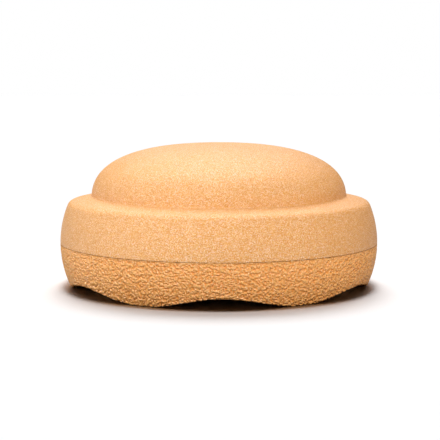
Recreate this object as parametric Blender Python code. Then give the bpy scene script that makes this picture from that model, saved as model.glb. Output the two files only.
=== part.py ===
"""Balance stone: a hollow foam stepping stone that stands on six feet and stacks on its own dome.

Metres, +Z up. The stone stands on the plane z = 0, centred on the Z axis. An arch between two feet
faces -Y, so the feet's middles stand 30, 90 and 150 degrees to either side of -Y. Two foam mouldings
meet at the widest part of the wall: the fine-skinned upper shell sits on the coarse grip base, and a
tongue on the base stands in a groove in the shell.
"""

import math

import bmesh
import bpy
from mathutils import Vector

# Outside shape
DIAMETER = 0.275  # at the widest part of the wall, where the two mouldings meet
SEAM_HEIGHT = 0.0385
BULGE_RADIUS = 0.0857  # the outer wall is one arc in section, and this is its radius
LEDGE_RADIUS = 0.1108  # where the dome rises out of the ledge
LEDGE_HEIGHT = 0.0787
LEDGE_SLOPE = 0.237  # how far the ledge falls for each metre outwards
SHOULDER_RADIUS = 0.0065  # rounds the ledge over into the wall
CREASE_ROUNDING = 0.0022  # rounds the dome's side into the ledge
DOME_HEIGHT = 0.1236  # the stone's full height
DOME_RADIUS = 0.1106
DOME_BASE = 0.0734  # the height where the dome's side would stand upright
DOME_SIDE_POWER = 2.5  # 2 gives a plain ellipse, and more gives a fuller curve
DOME_TOP_POWER = 2.6

# Feet
FEET = 6
ARCH_HEIGHT = 0.0087
FOOT_PAD_ANGLE = math.radians(3.75)  # each foot is flat this far to either side of its middle
FOOT_OUTER_ROUNDING = 0.0015
FOOT_INNER_ROUNDING = 0.003

# Hollow inside: a bore that takes another stone's dome, then a step and a smaller domed cavity
WALL_THICKNESS = 0.024
BORE_RADIUS = DIAMETER / 2 - WALL_THICKNESS
STEP_HEIGHT = LEDGE_HEIGHT - WALL_THICKNESS
STEP_ROUNDING = 0.005
CAVITY_RADIUS = LEDGE_RADIUS - WALL_THICKNESS
CAVITY_BASE = STEP_HEIGHT - STEP_ROUNDING
CAVITY_HEIGHT = DOME_HEIGHT - WALL_THICKNESS

# Joint between the two mouldings
FIT_GAP = 0.0003
TONGUE_WIDTH = 0.008
TONGUE_HEIGHT = 0.009
TONGUE_TAPER = 0.001  # the tongue narrows by this much on each side

# Fineness of the meshes
SEGMENTS = 96  # a multiple of 12, so that the middle of every foot and arch has its own line of points
WALL_STEPS = 6
SHOULDER_STEPS = 4
DOME_STEPS = 11
CAVITY_STEPS = 8
ROUNDING_STEPS = 3
SHARP_EDGE = math.radians(40)

WALL_CENTRE = Vector((DIAMETER / 2 - BULGE_RADIUS, SEAM_HEIGHT))
LEDGE_UP = Vector((LEDGE_SLOPE, 1)).normalized()
LEDGE_OUT = Vector((1, -LEDGE_SLOPE)).normalized()


def clear_scene():
    for obj in list(bpy.data.objects):
        bpy.data.objects.remove(obj, do_unlink=True)


def foam_material(name, colour, roughness):
    material = bpy.data.materials.new(name)
    material.use_nodes = True
    shader = material.node_tree.nodes["Principled BSDF"]
    shader.inputs["Base Color"].default_value = (*colour, 1.0)
    shader.inputs["Roughness"].default_value = roughness
    shader.inputs["Metallic"].default_value = 0.0
    return material


# Curves in section. Each point holds its distance from the axis and its height.


def arc(centre, radius, start, end, steps):
    """Points on a circle from the angle start to the angle end, both included."""
    angles = [start + (end - start) * i / steps for i in range(steps + 1)]
    return [centre + radius * Vector((math.cos(a), math.sin(a))) for a in angles]


def rounding(start, corner, end):
    """Points of the curve that leaves start towards corner and reaches end along the corner's other side."""
    points = []
    for i in range(ROUNDING_STEPS + 1):
        t = i / ROUNDING_STEPS
        points.append(start * (1 - t) ** 2 + corner * 2 * t * (1 - t) + end * t**2)
    return points


def wall_radius(height):
    """Outer radius of the wall at this height."""
    return WALL_CENTRE.x + math.sqrt(BULGE_RADIUS**2 - (height - WALL_CENTRE.y) ** 2)


def wall_curve(start_height, end_height):
    """The outer wall's arc between two heights."""
    start, end = (math.asin((h - WALL_CENTRE.y) / BULGE_RADIUS) for h in (start_height, end_height))
    return arc(WALL_CENTRE, BULGE_RADIUS, start, end, WALL_STEPS)


def ledge_point(radius):
    return Vector((radius, LEDGE_HEIGHT - LEDGE_SLOPE * (radius - LEDGE_RADIUS)))


def shoulder_curve():
    """The shoulder from the ledge's outer end down to the wall. It meets both without a corner."""
    # The shoulder's centre lies one shoulder radius under the ledge, and its circle touches the wall's
    # from inside, so the two centres stand apart by the difference of the two radii.
    under_crease = ledge_point(LEDGE_RADIUS) - SHOULDER_RADIUS * LEDGE_UP
    offset = under_crease - WALL_CENTRE
    along = offset.dot(LEDGE_OUT)
    short = offset.length_squared - (BULGE_RADIUS - SHOULDER_RADIUS) ** 2
    centre = under_crease + (math.sqrt(along**2 - short) - along) * LEDGE_OUT
    to_wall = centre - WALL_CENTRE
    start = math.atan2(LEDGE_UP.y, LEDGE_UP.x)
    end = math.atan2(to_wall.y, to_wall.x)
    return arc(centre, SHOULDER_RADIUS, start, end, SHOULDER_STEPS)


def dome_curve(radius, base, top, start_height, steps):
    """A superellipse from start_height up towards the axis. Its last point, on the axis, is left out."""
    start = math.asin(((start_height - base) / (top - base)) ** (DOME_TOP_POWER / 2))
    points = []
    for i in range(steps):
        t = start + (math.pi / 2 - start) * i / steps
        across = radius * math.cos(t) ** (2 / DOME_SIDE_POWER)
        height = base + (top - base) * math.sin(t) ** (2 / DOME_TOP_POWER)
        points.append(Vector((across, height)))
    return points


def tongue_curve(gap, seat):
    """The tongue's outline, grown by gap, from its outer foot to its inner foot on the height seat."""
    middle = (BORE_RADIUS + DIAMETER / 2) / 2
    half = TONGUE_WIDTH / 2 + gap
    top = SEAM_HEIGHT + TONGUE_HEIGHT + gap
    return [
        Vector((middle + half, seat)),
        Vector((middle + half - TONGUE_TAPER, top)),
        Vector((middle - half + TONGUE_TAPER, top)),
        Vector((middle - half, seat)),
    ]


def foot_height(angle):
    """Height of the base's lower edge, which is 0 under a foot and ARCH_HEIGHT in mid-arch."""
    wave = (1 + math.cos(FEET * angle)) / 2
    flat = (1 - math.cos(FEET * FOOT_PAD_ANGLE)) / 2
    return ARCH_HEIGHT * max(0.0, (wave - flat) / (1 - flat))


# Sections of the two mouldings


def shell_section():
    """Open section, from beside the top of the dome round to beside the top of the cavity."""
    seat = SEAM_HEIGHT + FIT_GAP / 2
    dome = dome_curve(DOME_RADIUS, DOME_BASE, DOME_HEIGHT, LEDGE_HEIGHT + CREASE_ROUNDING, DOME_STEPS)
    dome_foot = dome[0]
    crease = rounding(dome_foot, ledge_point(dome_foot.x), ledge_point(dome_foot.x + CREASE_ROUNDING))
    shoulder = shoulder_curve()
    wall = wall_curve(shoulder[-1].y, seat)
    bore = rounding(
        Vector((BORE_RADIUS, STEP_HEIGHT - STEP_ROUNDING)),
        Vector((BORE_RADIUS, STEP_HEIGHT)),
        Vector((BORE_RADIUS - STEP_ROUNDING, STEP_HEIGHT)),
    )
    cavity = dome_curve(CAVITY_RADIUS, CAVITY_BASE, CAVITY_HEIGHT, STEP_HEIGHT + STEP_ROUNDING, CAVITY_STEPS)
    cavity_foot = cavity[0]
    lip = rounding(
        Vector((cavity_foot.x + STEP_ROUNDING, STEP_HEIGHT)),
        Vector((cavity_foot.x, STEP_HEIGHT)),
        cavity_foot,
    )
    outside = dome[:0:-1] + crease + shoulder + wall[1:]
    underside = tongue_curve(FIT_GAP, seat) + [Vector((BORE_RADIUS, seat))]
    return outside + underside + bore + lip + cavity[1:]


def base_section(angle):
    """Closed section at this angle round the axis, from the top of the wall down and back up inside."""
    seat = SEAM_HEIGHT - FIT_GAP / 2
    bottom = foot_height(angle)
    edge = wall_radius(bottom)
    wall = wall_curve(seat, bottom + FOOT_OUTER_ROUNDING)
    outer_edge = rounding(wall[-1], Vector((edge, bottom)), Vector((edge - FOOT_OUTER_ROUNDING, bottom)))
    inner_edge = rounding(
        Vector((BORE_RADIUS + FOOT_INNER_ROUNDING, bottom)),
        Vector((BORE_RADIUS, bottom)),
        Vector((BORE_RADIUS, bottom + FOOT_INNER_ROUNDING)),
    )
    tongue = tongue_curve(0, seat)
    return wall + outer_edge[1:] + inner_edge + [Vector((BORE_RADIUS, seat))] + tongue[::-1]


# Solids


def revolve(name, section_at, material, tops=None):
    """A closed solid whose section at each angle round the axis is section_at(angle).

    A section is a closed loop or, where tops gives two heights on the axis, an open curve that starts
    beside the first height and ends beside the second.
    """
    shape = bmesh.new()
    rings = []
    for step in range(SEGMENTS):
        angle = 2 * math.pi * step / SEGMENTS
        x, y = math.sin(angle), -math.cos(angle)
        rings.append([shape.verts.new((x * p.x, y * p.x, p.y)) for p in section_at(angle)])
    on_axis = [shape.verts.new((0, 0, height)) for height in tops or ()]
    for here, there in zip(rings, rings[1:] + rings[:1]):
        for i in range(len(here) - 1):
            shape.faces.new((here[i], here[i + 1], there[i + 1], there[i]))
        if tops:
            shape.faces.new((on_axis[0], here[0], there[0]))
            shape.faces.new((on_axis[1], there[-1], here[-1]))
        else:
            shape.faces.new((here[-1], here[0], there[0], there[-1]))
    bmesh.ops.recalc_face_normals(shape, faces=shape.faces)
    mesh = bpy.data.meshes.new(name)
    shape.to_mesh(mesh)
    shape.free()
    mesh.shade_smooth()
    mesh.set_sharp_from_angle(angle=SHARP_EDGE)
    mesh.materials.append(material)
    obj = bpy.data.objects.new(name, mesh)
    bpy.context.scene.collection.objects.link(obj)


def upper_shell():
    """Dome, ledge, shoulder and upper wall, hollow inside."""
    section = shell_section()
    foam = foam_material("fine_foam", (0.92, 0.43, 0.18), 0.6)
    revolve("upper_shell", lambda angle: section, foam, tops=(DOME_HEIGHT, CAVITY_HEIGHT))


def grip_base():
    """The lower ring, with its feet, arches and tongue."""
    foam = foam_material("coarse_foam", (0.86, 0.38, 0.13), 0.7)
    revolve("grip_base", base_section, foam)


clear_scene()
upper_shell()
grip_base()
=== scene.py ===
import math

import bpy
import numpy as np
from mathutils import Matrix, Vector, noise


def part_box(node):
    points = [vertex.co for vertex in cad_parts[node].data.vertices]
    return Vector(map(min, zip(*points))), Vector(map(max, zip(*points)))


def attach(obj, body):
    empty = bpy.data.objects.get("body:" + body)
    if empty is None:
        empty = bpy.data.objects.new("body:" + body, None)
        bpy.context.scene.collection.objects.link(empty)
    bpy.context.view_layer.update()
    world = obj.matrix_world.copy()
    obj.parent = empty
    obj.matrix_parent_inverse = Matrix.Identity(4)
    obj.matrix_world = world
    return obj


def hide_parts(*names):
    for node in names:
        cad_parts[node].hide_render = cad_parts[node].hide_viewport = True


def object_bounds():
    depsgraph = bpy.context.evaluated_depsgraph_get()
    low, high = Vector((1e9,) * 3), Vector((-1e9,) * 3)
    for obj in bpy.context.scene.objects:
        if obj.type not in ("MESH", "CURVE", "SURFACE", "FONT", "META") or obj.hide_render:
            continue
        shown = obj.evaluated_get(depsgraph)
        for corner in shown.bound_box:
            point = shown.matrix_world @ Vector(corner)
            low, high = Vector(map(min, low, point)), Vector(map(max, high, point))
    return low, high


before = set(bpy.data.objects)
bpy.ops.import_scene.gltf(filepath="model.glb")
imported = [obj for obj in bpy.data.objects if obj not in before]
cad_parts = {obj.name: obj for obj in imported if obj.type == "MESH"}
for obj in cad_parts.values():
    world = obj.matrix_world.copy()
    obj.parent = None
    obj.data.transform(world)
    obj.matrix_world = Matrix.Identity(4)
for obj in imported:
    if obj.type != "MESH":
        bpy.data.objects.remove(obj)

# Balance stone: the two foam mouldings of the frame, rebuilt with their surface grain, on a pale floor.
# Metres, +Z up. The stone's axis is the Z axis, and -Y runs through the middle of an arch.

cad_low, cad_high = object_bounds()
shell_low, shell_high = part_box("upper_shell")
base_low, base_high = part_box("grip_base")

# Outside shape, from the frame's boxes and the proportions of the stone
RADIUS = (cad_high.x - cad_low.x) / 2
HEIGHT = shell_high.z
FIT_GAP = 0.0003
SEAM = shell_low.z - FIT_GAP / 2
BULGE_RADIUS = 0.6233 * RADIUS
LEDGE_RADIUS = 0.8058 * RADIUS
LEDGE_HEIGHT = 0.6367 * HEIGHT
LEDGE_SLOPE = 0.237
SHOULDER_RADIUS = 0.0065
CREASE_ROUNDING = 0.0012
DOME_RADIUS = 0.8044 * RADIUS
DOME_BASE = 0.5939 * HEIGHT
DOME_SIDE_POWER = 2.5
DOME_TOP_POWER = 2.6
SEAM_ROUNDING = 0.0004

# Feet
FEET = 6
ARCH_HEIGHT = 0.0087
FOOT_PAD_ANGLE = math.radians(3.75)
FOOT_SOFTNESS = 0.02  # how gently a foot's flat runs out into its arches, as a share of their height
FOOT_OUTER_ROUNDING = 0.0015
FOOT_INNER_ROUNDING = 0.003

# Hollow inside
WALL_THICKNESS = 0.024
BORE_RADIUS = RADIUS - WALL_THICKNESS
STEP_HEIGHT = LEDGE_HEIGHT - WALL_THICKNESS
STEP_ROUNDING = 0.005
CAVITY_RADIUS = LEDGE_RADIUS - WALL_THICKNESS
CAVITY_BASE = STEP_HEIGHT - STEP_ROUNDING
CAVITY_HEIGHT = HEIGHT - WALL_THICKNESS

# Joint between the two mouldings
TONGUE_WIDTH = 0.008
TONGUE_TOP = base_high.z
TONGUE_TAPER = 0.001
TONGUE_MIDDLE = (BORE_RADIUS + RADIUS) / 2

# Fineness of the meshes
SHELL_SEGMENTS = 720
SHELL_SPACING = 0.0012
THINNING_RADIUS = 0.72 * RADIUS  # inside this radius the shell's rings have fewer segments
CREASE_SPACING = SHELL_SPACING / 3
LIP_SPACING = SEAM_ROUNDING / 3
STEP_SPACING = STEP_ROUNDING / 5
BASE_SEGMENTS = 1320
BASE_SPACING = 0.00062
SEAM_ROWS = 3
FOOT_OUTER_ROWS = 8
SOLE_ROWS = 6
FOOT_INNER_ROWS = 4
BORE_ROWS = 7
HIDDEN_SPACING = 0.003

# Grain of the upper skin: a faint unevenness
FINE_DEPTH = 0.00007
FINE_CELL = 0.0034

# Grain of the grip texture: small lumps on slower swells
COARSE_DEPTH = 0.0013
COARSE_MEAN = 0.00048
LUMP_CELL = (0.00105, 0.00105, 0.00125)
LUMP_DEPTH = 0.0027
SWELL_CELL = 0.0045
SWELL_SHIFT = Vector((7.0, 3.0, 1.0))
SWELL_DEPTH = 0.0003
SEAM_FADE = 0.001  # the texture reaches its full depth this far below the seam
SOLE_FADE_START = BORE_RADIUS + 0.0045  # and under the feet it starts at this radius
SOLE_FADE = 0.006  # and reaches its full depth this much further out

# What the two foams' materials share
NOISE_ROUGHNESS = 0.6
NOISE_SHIFTS = (0.0, 0.37, 0.91)  # sets the grain, the flecks and the drift of hue apart
FLECK_STOPS = (0.4, 0.5, 0.6)  # the noise's values where the flecks are deep, base and pale
DRIFT_SIZE = 2.2  # of the hue's drift, as a multiple of the flecks'
HUE_DRIFT = [(0.3, (1.0, 0.94, 1.0)), (0.7, (1.0, 1.0, 0.88))]

# Camera
CAMERA_DISTANCE = 1.2463
CAMERA_HEIGHT = 0.1991
CAMERA_TURN = math.radians(1.273)  # how far round to the stone's left it stands
CAMERA_ASIDE = math.radians(0.0458)  # how far past the stone's axis it looks
CAMERA_PITCH = math.radians(6.518)
CAMERA_LENS = 117.74
CAMERA_SENSOR = 36

# Looks of the studio
PAPER_SHADE = (0.98, 0.985, 1.0)
PAPER_BOUNCE = 0.6
PAPER_HALF_WIDTH = 6.0
WHITE = (1.0, 1.0, 1.0)
WARM = (1.0, 0.60, 0.28)

# Each light's azimuth, elevation and spread in degrees, its strength and its tint
PAPER_LIGHTS = {
    "paper_top_light": (0, 90, 15, 0.35, WHITE),
    "paper_back_light": (180, 60, 32, 0.68, WHITE),
    "paper_low_back_light": (180, 35, 30, 0.06, WHITE),
    "paper_back_left_light": (-135, 50, 30, 0.04, WHITE),
    "paper_back_right_light": (135, 50, 30, 0.04, WHITE),
}
STONE_LIGHTS = {
    "top_light": (0, 90, 60, 0.10, WHITE),
    "back_light": (180, 54, 30, 0.78, WHITE),
    "front_light": (4, 38, 14, 1.04, WHITE),
    "left_light": (-90, 20, 30, 0.54, WHITE),
    "right_light": (80, 20, 30, 0.12, WARM),
}

WALL_CENTRE = np.array((RADIUS - BULGE_RADIUS, SEAM))
LEDGE_UP = np.array((LEDGE_SLOPE, 1.0)) / math.hypot(LEDGE_SLOPE, 1.0)
LEDGE_OUT = np.array((1.0, -LEDGE_SLOPE)) / math.hypot(LEDGE_SLOPE, 1.0)


# Curves in section. A curve is an array of points, each a distance from the axis and a height.


def lengths_along(points):
    """How far along the curve each of its points lies."""
    return np.concatenate(([0.0], np.cumsum(np.hypot(*np.diff(points, axis=0).T))))


def divided(points, parts):
    """The same curve as this many equal parts."""
    points = np.asarray(points, float)
    along = lengths_along(points)
    stations = np.linspace(0, along[-1], parts + 1)
    return np.stack([np.interp(stations, along, points[:, k]) for k in (0, 1)], axis=1)


def spaced(points, spacing):
    """The same curve with its points an even distance apart, as near to spacing as divides it."""
    length = lengths_along(np.asarray(points, float))[-1]
    return divided(points, max(1, round(length / spacing)))


def arc(centre, radius, start, end, steps=200):
    """Points on a circle from the angle start to the angle end."""
    angles = np.linspace(start, end, steps)[:, None]
    return centre + radius * np.concatenate((np.cos(angles), np.sin(angles)), axis=1)


def rounding(start, corner, end, steps=40):
    """The curve that leaves start towards corner and reaches end along the corner's other side."""
    t = np.linspace(0, 1, steps)[:, None]
    start, corner, end = (np.asarray(p, float) for p in (start, corner, end))
    return start * (1 - t) ** 2 + corner * 2 * t * (1 - t) + end * t**2


def wall_radius(height):
    """Outer radius of the wall at this height."""
    return WALL_CENTRE[0] + np.sqrt(BULGE_RADIUS**2 - (height - SEAM) ** 2)


def wall_curve(start_height, end_height):
    """The outer wall's arc between two heights."""
    start, end = (math.asin((h - SEAM) / BULGE_RADIUS) for h in (start_height, end_height))
    return arc(WALL_CENTRE, BULGE_RADIUS, start, end)


def ledge_point(radius):
    return np.array((radius, LEDGE_HEIGHT - LEDGE_SLOPE * (radius - LEDGE_RADIUS)))


def shoulder_curve():
    """From the ledge's outer end down to the wall, meeting both without a corner."""
    under_crease = ledge_point(LEDGE_RADIUS) - SHOULDER_RADIUS * LEDGE_UP
    offset = under_crease - WALL_CENTRE
    along = offset @ LEDGE_OUT
    short = offset @ offset - (BULGE_RADIUS - SHOULDER_RADIUS) ** 2
    centre = under_crease + (math.sqrt(along**2 - short) - along) * LEDGE_OUT
    to_wall = centre - WALL_CENTRE
    return arc(
        centre,
        SHOULDER_RADIUS,
        math.atan2(LEDGE_UP[1], LEDGE_UP[0]),
        math.atan2(to_wall[1], to_wall[0]),
    )


def dome_curve(radius, base, top, start_height, steps=400):
    """A superellipse from start_height up to the axis."""
    start = math.asin(((start_height - base) / (top - base)) ** (DOME_TOP_POWER / 2))
    t = np.linspace(start, math.pi / 2, steps)
    across = radius * np.cos(t).clip(0) ** (2 / DOME_SIDE_POWER)
    height = base + (top - base) * np.sin(t) ** (2 / DOME_TOP_POWER)
    return np.stack((across, height), axis=1)


def foot_height(angle):
    """Height of the base's lower edge, about 0 under a foot and ARCH_HEIGHT in mid-arch."""
    wave = (1 + np.cos(FEET * angle)) / 2
    flat = (1 - math.cos(FEET * FOOT_PAD_ANGLE)) / 2
    rise = (wave - flat) / (1 - flat)
    return ARCH_HEIGHT * (rise + np.sqrt(rise**2 + FOOT_SOFTNESS**2)) / 2


# Turned meshes


def turned_mesh(name, rows, closed):
    """A mesh of revolution through rows of points, each an array (n, 3) of n points round the axis.

    From one row to the next n stays, doubles or halves. closed joins the last row to the first, and an
    open stack ends in rows of one point, on the axis.
    """
    starts = np.cumsum([0] + [len(row) for row in rows])
    faces = []
    pairs = list(zip(range(len(rows) - 1), range(1, len(rows))))
    if closed:
        pairs.append((len(rows) - 1, 0))
    for a, b in pairs:
        faces.extend(band_faces(starts[a], len(rows[a]), starts[b], len(rows[b])))
    mesh = bpy.data.meshes.new(name)
    mesh.from_pydata(np.concatenate(rows).tolist(), [], faces)
    mesh.validate()
    mesh.shade_smooth()
    obj = bpy.data.objects.new(name, mesh)
    bpy.context.scene.collection.objects.link(obj)
    return obj


def band_faces(first, count, second, other):
    """Faces between two rings, each given by its first vertex and its count.

    They face outwards where the second ring comes after the first, down the outside.
    """
    if other == 1:
        return [(first + k, second, first + (k + 1) % count) for k in range(count)]
    if count == 1:
        return [(first, second + k, second + (k + 1) % other) for k in range(other)]
    if count == other:
        after = [(k + 1) % count for k in range(count)]
        return [(first + k, second + k, second + after[k], first + after[k]) for k in range(count)]
    faces = []
    if other == 2 * count:
        for k in range(count):
            here, there = first + k, first + (k + 1) % count
            left, middle, right = (second + (2 * k + i) % other for i in range(3))
            faces += [(here, left, middle), (here, middle, there), (there, middle, right)]
    else:
        for k in range(other):
            here, there = second + k, second + (k + 1) % other
            left, middle, right = (first + (2 * k + i) % count for i in range(3))
            faces += [(left, here, middle), (middle, here, there), (middle, there, right)]
    return faces


def ring(point, count):
    """count points round the axis at this distance and height, the first towards -Y."""
    angle = np.arange(count) * 2 * math.pi / count
    return np.stack(
        (point[0] * np.sin(angle), -point[0] * np.cos(angle), np.full(count, point[1])), axis=1
    )


def shell_rows():
    """Rows of the upper shell from the top of the dome round to the top of the cavity."""
    seat = SEAM + FIT_GAP / 2
    dome = dome_curve(DOME_RADIUS, DOME_BASE, HEIGHT, LEDGE_HEIGHT + CREASE_ROUNDING)
    foot = dome[0]
    crease_end = ledge_point(foot[0] + CREASE_ROUNDING)
    shoulder = shoulder_curve()
    wall = wall_curve(shoulder[-1][1], seat + SEAM_ROUNDING)
    lip = rounding(wall[-1], (wall_radius(seat), seat), (wall_radius(seat) - SEAM_ROUNDING, seat))
    outside = [
        spaced(dome[::-1], SHELL_SPACING)[1:],
        spaced(rounding(foot, ledge_point(foot[0]), crease_end), CREASE_SPACING)[1:],
        spaced(np.concatenate(([crease_end], shoulder, wall[1:])), SHELL_SPACING)[1:],
        spaced(lip, LIP_SPACING)[1:],
    ]
    rows = [ring((0.0, HEIGHT), 1)]
    for point in np.concatenate(outside):
        rows.append(ring(point, segments_at(point[0])))
    half = TONGUE_WIDTH / 2 + FIT_GAP
    top = TONGUE_TOP + FIT_GAP
    groove = [
        (TONGUE_MIDDLE + half, seat),
        (TONGUE_MIDDLE + half - TONGUE_TAPER, top),
        (TONGUE_MIDDLE - half + TONGUE_TAPER, top),
        (TONGUE_MIDDLE - half, seat),
        (BORE_RADIUS, seat),
    ]
    bore = rounding(
        (BORE_RADIUS, STEP_HEIGHT - STEP_ROUNDING),
        (BORE_RADIUS, STEP_HEIGHT),
        (BORE_RADIUS - STEP_ROUNDING, STEP_HEIGHT),
    )
    cavity = dome_curve(CAVITY_RADIUS, CAVITY_BASE, CAVITY_HEIGHT, STEP_HEIGHT + STEP_ROUNDING)
    cavity_lip = rounding(
        (cavity[0][0] + STEP_ROUNDING, STEP_HEIGHT), (cavity[0][0], STEP_HEIGHT), cavity[0]
    )
    inside = np.concatenate(
        (
            spaced([groove[-1], bore[0]], HIDDEN_SPACING)[1:],
            spaced(bore, STEP_SPACING)[1:],
            spaced([bore[-1], cavity_lip[0]], HIDDEN_SPACING)[1:],
            spaced(cavity_lip, STEP_SPACING)[1:],
            spaced(cavity, HIDDEN_SPACING)[1:-1],
        )
    )
    rows.append(ring(groove[0], SHELL_SEGMENTS))
    rows.append(ring(groove[1], SHELL_SEGMENTS // 2))
    rows.extend(ring(point, SHELL_SEGMENTS // 4) for point in groove[2:])
    for point in inside:
        rows.append(ring(point, min(SHELL_SEGMENTS // 4, segments_at(point[0]))))
    rows.append(ring((0.0, CAVITY_HEIGHT), 1))
    return rows


def segments_at(radius):
    """How many points a shell ring of this radius has, halved each time the rings get half as wide."""
    count = SHELL_SEGMENTS
    while count % 2 == 0 and radius < THINNING_RADIUS * count / SHELL_SEGMENTS:
        count //= 2
    return count


def base_rows():
    """Rows of the grip base, down the wall from the seam, under the feet and up inside."""
    angle = np.arange(BASE_SEGMENTS) * 2 * math.pi / BASE_SEGMENTS
    sections = [base_section(bottom) for bottom in foot_height(angle)]
    points = np.array([np.concatenate([curve for curve, _ in section]) for section in sections])
    counts = [count for curve, count in sections[0] for _ in curve]
    rows = []
    for i, count in enumerate(counts):
        stride = BASE_SEGMENTS // count
        across, height = points[::stride, i].T
        a = angle[::stride]
        rows.append(np.stack((across * np.sin(a), -across * np.cos(a), height), axis=1))
    return rows


def base_section(bottom):
    """The base's section where its lower edge is at this height.

    It comes as stretches, each a curve and the number of segments that its rows have.
    """
    seat = SEAM - FIT_GAP / 2
    top_edge, edge = wall_radius(seat), wall_radius(bottom)
    wall = wall_curve(seat - SEAM_ROUNDING, bottom + FOOT_OUTER_ROUNDING)
    wall_rows = round((SEAM - ARCH_HEIGHT / 2) / BASE_SPACING)
    lip = rounding((top_edge - SEAM_ROUNDING, seat), (top_edge, seat), wall[0])
    outer = rounding(wall[-1], (edge, bottom), (edge - FOOT_OUTER_ROUNDING, bottom))
    inner = rounding(
        (BORE_RADIUS + FOOT_INNER_ROUNDING, bottom),
        (BORE_RADIUS, bottom),
        (BORE_RADIUS, bottom + FOOT_INNER_ROUNDING),
    )
    foot = TONGUE_WIDTH / 2
    tip = foot - TONGUE_TAPER
    full, half, quarter = BASE_SEGMENTS, BASE_SEGMENTS // 2, BASE_SEGMENTS // 4
    return [
        (divided(lip, SEAM_ROWS), full),
        (divided(wall, wall_rows)[1:], full),
        (divided(outer, FOOT_OUTER_ROWS)[1:], full),
        (divided([outer[-1], inner[0]], SOLE_ROWS)[1:], half),
        (divided(inner, FOOT_INNER_ROWS)[1:], half),
        (divided([inner[-1], (BORE_RADIUS, seat)], BORE_ROWS)[1:], quarter),
        (np.array([(TONGUE_MIDDLE - foot, seat), (TONGUE_MIDDLE - tip, TONGUE_TOP)]), quarter),
        (np.array([(TONGUE_MIDDLE + tip, TONGUE_TOP), (TONGUE_MIDDLE + foot, seat)]), half),
    ]


# Grain


def coarse_grain(p):
    """Depth of the grip texture below the smooth surface, in metres.

    It runs out towards the seam and under the feet, so the tongue and the bore stay smooth.
    """
    lump = noise.noise(Vector([along / cell for along, cell in zip(p, LUMP_CELL)]))
    swell = noise.noise(p / SWELL_CELL + SWELL_SHIFT)
    depth = min(COARSE_DEPTH, max(0.0, COARSE_MEAN - LUMP_DEPTH * lump - SWELL_DEPTH * swell))
    below_seam = (SEAM - p.z) / SEAM_FADE
    past_sole = (math.hypot(p.x, p.y) - SOLE_FADE_START) / SOLE_FADE
    return depth * max(0.0, min(1.0, below_seam, past_sole))


def fine_grain(p):
    """Depth of the upper skin's faint unevenness, in metres."""
    return FINE_DEPTH * (0.5 - 0.5 * noise.noise(p / FINE_CELL))


def press_grain(obj, depth_at, deepest):
    """Presses a grain into the mesh, along its normals. It only ever goes inwards.

    The attribute relief keeps each point's depth, from 0 to 1 at the deepest, by which the material
    paints shade into the pits.
    """
    mesh = obj.data
    depths = [depth_at(vertex.co) for vertex in mesh.vertices]
    normals = [v.vector.copy() for v in mesh.vertex_normals]
    for vertex, normal, depth in zip(mesh.vertices, normals, depths):
        vertex.co -= depth * normal
    relief = mesh.attributes.new("relief", "FLOAT", "POINT")
    relief.data.foreach_set("value", [depth / deepest for depth in depths])
    mesh.update()


# Materials


def noise_texture(nodes, links, place, size, detail, offset):
    """A noise of this feature size in metres, from 0 to 1 about 0.5."""
    shift = nodes.new("ShaderNodeVectorMath")
    shift.inputs[1].default_value = (offset, offset, offset)
    links.new(place.outputs["Object"], shift.inputs[0])
    texture = nodes.new("ShaderNodeTexNoise")
    texture.inputs["Scale"].default_value = 1 / size
    texture.inputs["Detail"].default_value = detail
    texture.inputs["Roughness"].default_value = NOISE_ROUGHNESS
    links.new(shift.outputs["Vector"], texture.inputs["Vector"])
    return texture


def colour_ramp(nodes, links, texture, stops):
    """Colours for the texture's values, from stops of (value, colour)."""
    ramp = nodes.new("ShaderNodeValToRGB")
    elements = ramp.color_ramp.elements
    while len(elements) < len(stops):
        elements.new(0.5)
    for element, (position, colour) in zip(elements, stops):
        element.position = position
        element.color = (*colour, 1)
    links.new(texture.outputs["Fac"], ramp.inputs["Fac"])
    return ramp


def multiplied(nodes, links, colour):
    """A mix node that multiplies this colour by its input B, fully unless its Factor is linked."""
    mix = nodes.new("ShaderNodeMix")
    mix.data_type = "RGBA"
    mix.blend_type = "MULTIPLY"
    mix.inputs["Factor"].default_value = 1.0
    links.new(colour, mix.inputs["A"])
    return mix


def foam_material(name, deep, base, pale, pit_shade, fleck_size, grain_size, grain_height, roughness, gloss):
    """Bead foam: a fine grain with paler flecks, a slight drift of hue, and painted shade in the pits.

    deep, base and pale are the flecks' colours; the pit colour is painted shade, which multiplies the
    colour at the grain's deepest.
    """
    material = bpy.data.materials.new(name)
    material.use_nodes = True
    nodes, links = material.node_tree.nodes, material.node_tree.links
    shader = nodes["Principled BSDF"]
    shader.inputs["Roughness"].default_value = roughness
    shader.inputs["Specular IOR Level"].default_value = gloss
    place = nodes.new("ShaderNodeTexCoord")
    grain = noise_texture(nodes, links, place, grain_size, 2, NOISE_SHIFTS[0])
    flecks = noise_texture(nodes, links, place, fleck_size, 2, NOISE_SHIFTS[1])
    drift = noise_texture(nodes, links, place, DRIFT_SIZE * fleck_size, 1, NOISE_SHIFTS[2])
    colour = colour_ramp(nodes, links, flecks, list(zip(FLECK_STOPS, (deep, base, pale))))
    hue = colour_ramp(nodes, links, drift, HUE_DRIFT)
    tinted = multiplied(nodes, links, colour.outputs["Color"])
    links.new(hue.outputs["Color"], tinted.inputs["B"])
    # Painted shade: the colour is darkened towards the pit colour where the grain is deepest.
    relief = nodes.new("ShaderNodeAttribute")
    relief.attribute_name = "relief"
    shaded = multiplied(nodes, links, tinted.outputs["Result"])
    shaded.inputs["B"].default_value = (*pit_shade, 1)
    links.new(relief.outputs["Fac"], shaded.inputs["Factor"])
    links.new(shaded.outputs["Result"], shader.inputs["Base Color"])
    bump = nodes.new("ShaderNodeBump")
    bump.inputs["Distance"].default_value = grain_height
    links.new(grain.outputs["Fac"], bump.inputs["Height"])
    links.new(bump.outputs["Normal"], shader.inputs["Normal"])
    return material


# Studio


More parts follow.
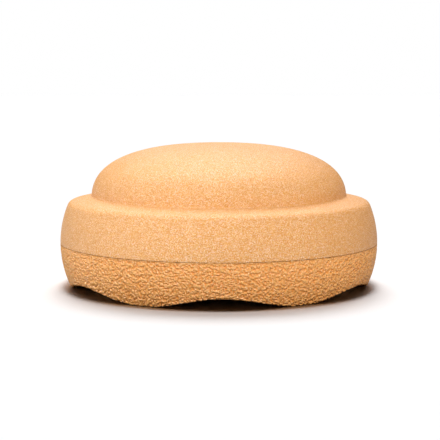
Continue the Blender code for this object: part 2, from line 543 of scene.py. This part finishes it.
def studio_floor():
    """Plain paper. It looks the colour PAPER_SHADE, and throws back as much light as PAPER_BOUNCE."""
    mesh = bpy.data.meshes.new("studio_floor")
    half = PAPER_HALF_WIDTH
    corners = [(-half, -half, 0), (half, -half, 0), (half, half, 0), (-half, half, 0)]
    mesh.from_pydata(corners, [], [(0, 1, 2, 3)])
    floor = bpy.data.objects.new("studio_floor", mesh)
    bpy.context.scene.collection.objects.link(floor)
    material = bpy.data.materials.new("studio_floor")
    material.use_nodes = True
    nodes, links = material.node_tree.nodes, material.node_tree.links
    nodes.remove(nodes["Principled BSDF"])
    rays = nodes.new("ShaderNodeLightPath")
    mix = nodes.new("ShaderNodeMixShader")
    links.new(rays.outputs["Is Camera Ray"], mix.inputs["Fac"])
    for slot, colour in ((1, (PAPER_BOUNCE, PAPER_BOUNCE, PAPER_BOUNCE)), (2, PAPER_SHADE)):
        paper = nodes.new("ShaderNodeBsdfDiffuse")
        paper.inputs["Color"].default_value = (*colour, 1)
        links.new(paper.outputs["BSDF"], mix.inputs[slot])
    links.new(mix.outputs["Shader"], nodes["Material Output"].inputs["Surface"])
    mesh.materials.append(material)
    paper_set.objects.link(floor)


def studio_world():
    """A white backdrop behind the floor, which gives no light of its own."""
    world = bpy.data.worlds.new("studio_world")
    bpy.context.scene.world = world
    world.use_nodes = True
    nodes, links = world.node_tree.nodes, world.node_tree.links
    unlit = nodes["Background"]
    unlit.inputs["Strength"].default_value = 0.0
    backdrop = nodes.new("ShaderNodeBackground")
    backdrop.inputs["Color"].default_value = (1, 1, 1, 1)
    rays = nodes.new("ShaderNodeLightPath")
    mix = nodes.new("ShaderNodeMixShader")
    links.new(rays.outputs["Is Camera Ray"], mix.inputs["Fac"])
    links.new(unlit.outputs["Background"], mix.inputs[1])
    links.new(backdrop.outputs["Background"], mix.inputs[2])
    links.new(mix.outputs["Shader"], nodes["World Output"].inputs["Surface"])


def soft_light(name, azimuth, elevation, spread, strength, tint, lit_set):
    """A far, soft light that falls on the objects of lit_set and on nothing else.

    Azimuth 0 is the camera's side, and strength 1 lights a white surface to white.
    """
    data = bpy.data.lights.new(name, "SUN")
    data.color = tint
    data.angle = math.radians(spread)
    data.energy = math.pi * strength
    lamp = bpy.data.objects.new(name, data)
    around, up = math.radians(azimuth), math.radians(elevation)
    towards = Vector((math.sin(around) * math.cos(up), -math.cos(around) * math.cos(up), math.sin(up)))
    lamp.rotation_euler = towards.to_track_quat("Z", "Y").to_euler()
    lamp.light_linking.receiver_collection = lit_set
    bpy.context.scene.collection.objects.link(lamp)


def camera():
    """A long lens a little over a metre away, just above the stone and a touch to its left."""
    data = bpy.data.cameras.new("camera")
    data.sensor_width = CAMERA_SENSOR
    data.lens = CAMERA_LENS
    data.clip_start = 0.05
    obj = bpy.data.objects.new("camera", data)
    obj.location = (
        -CAMERA_DISTANCE * math.sin(CAMERA_TURN),
        -CAMERA_DISTANCE * math.cos(CAMERA_TURN),
        CAMERA_HEIGHT,
    )
    obj.rotation_euler = (math.pi / 2 - CAMERA_PITCH, 0, -(CAMERA_TURN + CAMERA_ASIDE))
    bpy.context.scene.collection.objects.link(obj)
    bpy.context.scene.camera = obj


def foam_piece(name, node, rows, closed, depth_at, deepest, material):
    """One moulding of the stone, which stands for this node of the frame."""
    obj = turned_mesh(name, rows, closed)
    press_grain(obj, depth_at, deepest)
    obj.data.materials.append(material)
    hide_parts(node)
    stone_set.objects.link(obj)
    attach(obj, "root")


# Some lights fall only on the stone and the others only on the paper
stone_set = bpy.data.collections.new("stone_set")
paper_set = bpy.data.collections.new("paper_set")
camera()
studio_floor()
studio_world()
for lit_set, lights in ((paper_set, PAPER_LIGHTS), (stone_set, STONE_LIGHTS)):
    for name, settings in lights.items():
        soft_light(name, *settings, lit_set)
bpy.context.scene.view_settings.view_transform = "Standard"

fine = foam_material(
    "fine_foam",
    deep=(0.74, 0.32, 0.055),
    base=(0.79, 0.39, 0.100),
    # The pale flecks are whitish: partly the foam's own mottling and partly painted glints of its
    # glossy skin.
    pale=(0.92, 0.64, 0.42),
    # painted shade in the hollows of the faint unevenness
    pit_shade=(0.9, 0.85, 0.8),
    fleck_size=0.0008,
    grain_size=0.0012,
    grain_height=0.0012,
    roughness=0.45,
    gloss=0.6,
)
coarse = foam_material(
    "coarse_foam",
    deep=(0.82, 0.40, 0.112),
    base=(0.86, 0.44, 0.138),
    pale=(0.90, 0.52, 0.22),
    # painted shade in the hollows of the grip texture
    pit_shade=(0.98, 0.74, 0.48),
    fleck_size=0.0010,
    grain_size=0.0012,
    grain_height=0.0010,
    roughness=0.24,
    gloss=0.6,
)
foam_piece(
    "upper_shell_foam", "upper_shell", shell_rows(), False, fine_grain, FINE_DEPTH, fine
)
foam_piece(
    "grip_base_foam", "grip_base", base_rows(), True, coarse_grain, COARSE_DEPTH, coarse
)
